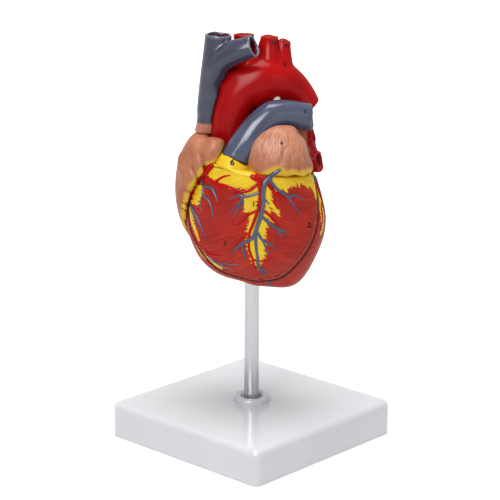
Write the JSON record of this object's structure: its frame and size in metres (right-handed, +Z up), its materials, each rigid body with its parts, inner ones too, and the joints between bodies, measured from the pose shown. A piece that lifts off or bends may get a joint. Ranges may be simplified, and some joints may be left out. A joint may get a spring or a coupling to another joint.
{
  "type": "human heart anatomy model on a rod stand",
  "caption": "Life-size anatomical heart with a pull-off front wall, on a steel rod in a square hollow base.",
  "frame": {"origin": "centre of the base's underside on the table, under the rod's axis", "axes": "+Z up along the rod, -Y the way that the heart's front faces, +X towards the heart's own left"},
  "size_m": [0.1842, 0.1842, 0.2731],
  "materials": {
    "base_plastic": "glossy white moulding",
    "pad_rubber": "matt",
    "rod_steel": "bright drawn",
    "screw_steel": "zinc plated",
    "socket_plastic": "moulded",
    "muscle": "hand painted with fine fibre lines, clear coat",
    "aorta_red": "painted, clear coat",
    "vein_blue": "painted slate blue, clear coat",
    "flesh": "painted flesh with a yellow rim, clear coat",
    "fat_yellow": "painted, clear coat",
    "artery_red": "painted relief",
    "valve_cream": "painted cream",
    "magnet_metal": "nickel plated"
  },
  "bodies": {
    "stand": {"base_plate": "base_plastic", "base_feet": "pad_rubber", "rod_collar": "base_plastic"},
    "rod": {"support_rod": "rod_steel", "rod_screw": "screw_steel", "rod_washer": "screw_steel"},
    "heart": {"heart_back": "muscle", "back_magnets": "magnet_metal", "rod_socket": "socket_plastic", "aorta": "aorta_red", "brachiocephalic_artery": "aorta_red", "left_carotid_artery": "aorta_red", "left_subclavian_artery": "aorta_red", "pulmonary_root_band": "fat_yellow", "pulmonary_trunk": "vein_blue", "superior_vena_cava": "vein_blue", "vena_cava_collar": "flesh", "ligamentum_arteriosum": "valve_cream", "left_brachiocephalic_vein": "vein_blue", "right_pulmonary_artery": "vein_blue", "right_atrium": "flesh", "left_atrium": "flesh", "right_auricle": "flesh", "left_auricle": "flesh", "left_pulmonary_veins": "aorta_red", "right_pulmonary_veins": "aorta_red", "inferior_vena_cava": "vein_blue", "mitral_valve": "valve_cream", "tricuspid_valve": "valve_cream", "aortic_valve": "valve_cream", "pulmonary_valve": "valve_cream", "left_papillary_muscles": "muscle", "right_papillary_muscles": "muscle", "chordae_tendineae": "valve_cream", "back_coronary_veins": "vein_blue", "back_coronary_arteries": "artery_red"},
    "front_wall": {"heart_front": "muscle", "front_magnets": "magnet_metal", "front_coronary_veins": "vein_blue", "front_coronary_arteries": "artery_red", "marginal_coronary_veins": "vein_blue", "marginal_coronary_arteries": "artery_red"}
  },
  "joints": [
    {"name": "rod_turn", "type": "hinge", "parent": "stand", "child": "rod", "pos_m": [0, 0, 0.024], "axis": [0, 0, 1], "continuous": true},
    {"name": "heart_lift", "type": "slide", "parent": "rod", "child": "heart", "axis": [0, 0, 1], "range_m": [0, 0.042]},
    {"name": "front_pull", "type": "slide", "parent": "heart", "child": "front_wall", "axis": [0, -1, 0], "range_m": [0, 0.08]}
  ]
}
